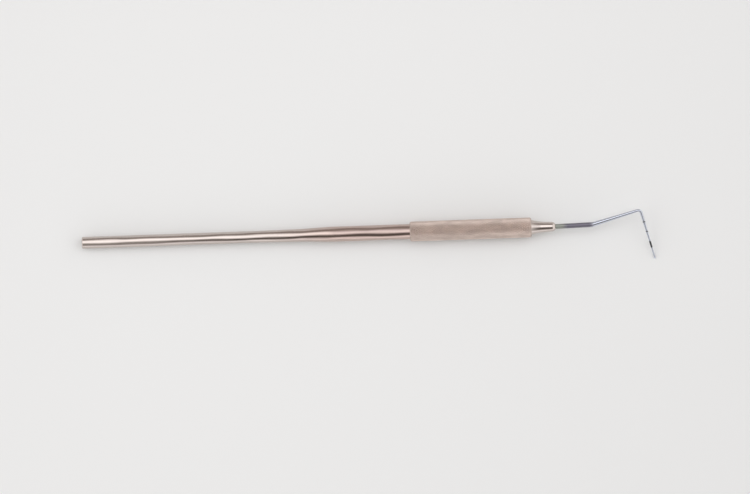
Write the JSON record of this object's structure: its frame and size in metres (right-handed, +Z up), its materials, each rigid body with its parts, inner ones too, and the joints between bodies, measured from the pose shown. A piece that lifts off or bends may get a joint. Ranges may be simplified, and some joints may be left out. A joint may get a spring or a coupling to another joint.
{
  "type": "dental explorer",
  "caption": "Slim hollow steel handle with a knurled grip, a turned nose and a bent tapering wire tip with depth marks and a small ball end.",
  "frame": {"origin": "bottom centre of the bounding box, on the surface that the explorer lies on", "axes": "+Z up, +X along the handle towards the tip, as the explorer lies at rest; the handle's axis rises by 0.71 degrees towards the tip and the plane of the bent wire is rolled by 19.3 degrees, so that the ball touches the surface; the ball is on the -Y side"},
  "size_m": [0.1614, 0.014, 0.006],
  "materials": {
    "polished_steel": "polished stainless steel, slightly warm",
    "knurled_steel": "matte knurled stainless steel",
    "wire_steel": "polished hardened steel",
    "black_mark": "satin black filling"
  },
  "bodies": {
    "root": {"handle_tube": "polished_steel", "butt_plug": "polished_steel", "grip_sleeve": "knurled_steel", "nose_cone": "polished_steel", "probe_wire": "wire_steel", "black_band": "black_mark", "lower_ring": "black_mark", "upper_ring": "black_mark"}
  },
  "joints": []
}
